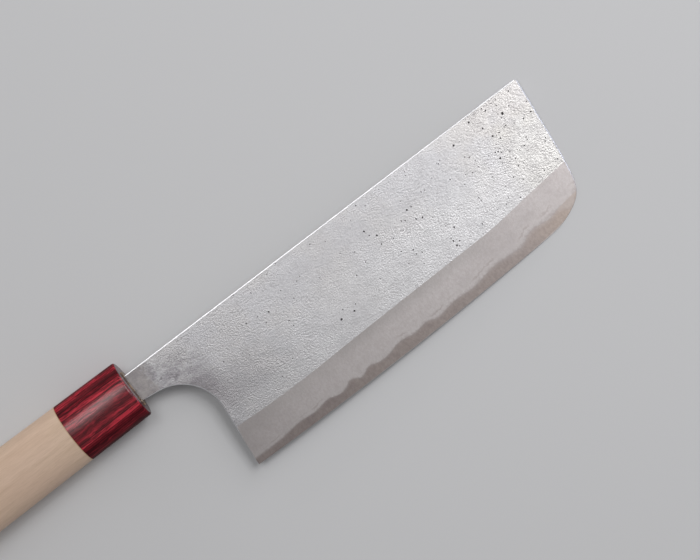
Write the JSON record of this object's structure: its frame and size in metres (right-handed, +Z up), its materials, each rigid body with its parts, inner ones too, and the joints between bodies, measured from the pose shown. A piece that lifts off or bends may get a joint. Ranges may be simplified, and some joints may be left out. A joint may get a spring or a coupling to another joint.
{
  "type": "nakiri knife",
  "caption": "Straight-edged vegetable knife with a laminated steel blade in an oval wooden handle with a red laminated ferrule.",
  "frame": {"origin": "middle of the footprint, on the surface that the knife lies on", "axes": "+X from the butt to the blade's tip, +Y to the spine's side, +Z up out of the surface; the knife lies on its left side, at rest on the ferrule's front and the tip's curve, so its handle dips about 2.1 degrees to the tip and the blade leans about 3.4 degrees to the edge"},
  "size_m": [0.3182, 0.066, 0.0249],
  "materials": {
    "core_steel": "satin, fine stone scratches",
    "cladding_steel": "matt pear-skin flats with small pits, satin ground bevel",
    "ferrule_laminate": "glossy, red dyed laminated wood",
    "handle_wood": "smooth bare pale wood",
    "tang_resin": "tan cured resin"
  },
  "bodies": {
    "root": {"core_steel": "core_steel", "cladding_right": "cladding_steel", "cladding_left": "cladding_steel", "ferrule": "ferrule_laminate", "handle_body": "handle_wood", "tang_seal": "tang_resin", "tang_bedding": "tang_resin"}
  },
  "joints": []
}
